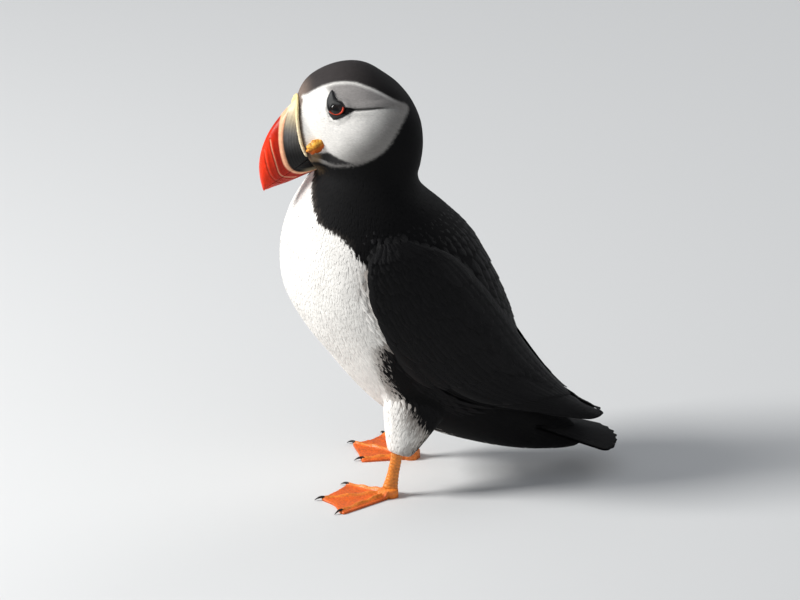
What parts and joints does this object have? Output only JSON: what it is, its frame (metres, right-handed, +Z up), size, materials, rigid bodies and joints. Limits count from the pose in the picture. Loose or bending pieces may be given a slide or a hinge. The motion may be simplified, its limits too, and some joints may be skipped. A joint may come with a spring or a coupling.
{
  "type": "standing puffin model",
  "caption": "Still life-size model of a standing adult puffin in summer plumage, with a deep flattened bill, folded wings, short tail and webbed feet.",
  "frame": {"origin": "on the floor, below the middle of the bounding box", "axes": "the bird faces -Y, its left side is +X, +Z is up"},
  "size_m": [0.1064, 0.1698, 0.2068],
  "materials": {
    "plumage_black": "matt black feathering",
    "plumage_white": "soft white feathering",
    "bill_red": "satin horn",
    "bill_slate": "satin horn",
    "bill_rim": "fleshy, satin",
    "skin_orange": "bare scaled skin",
    "eye_ring": "bare skin",
    "eye": "wet gloss",
    "claw": "satin horn"
  },
  "bodies": {
    "root": {"bill_lower": "bill_red", "bill_rim": "bill_rim", "bill_upper": "bill_red", "claw_left_inner": "claw", "claw_left_middle": "claw", "claw_left_outer": "claw", "claw_right_inner": "claw", "claw_right_middle": "claw", "claw_right_outer": "claw", "eye_left": "eye", "eye_plate_lower_left": "bill_slate", "eye_plate_lower_right": "bill_slate", "eye_plate_upper_left": "bill_slate", "eye_plate_upper_right": "bill_slate", "eye_right": "eye", "eye_ring_left": "eye_ring", "eye_ring_right": "eye_ring", "foot_left": "skin_orange", "foot_right": "skin_orange", "head": "plumage_black", "neck": "plumage_black", "rosette_left": "skin_orange", "rosette_right": "skin_orange", "shank_left": "skin_orange", "shank_right": "skin_orange", "tail": "plumage_black", "thigh_left": "plumage_white", "thigh_right": "plumage_white", "trunk": "plumage_white", "wing_left": "plumage_black", "wing_right": "plumage_black"}
  },
  "joints": []
}
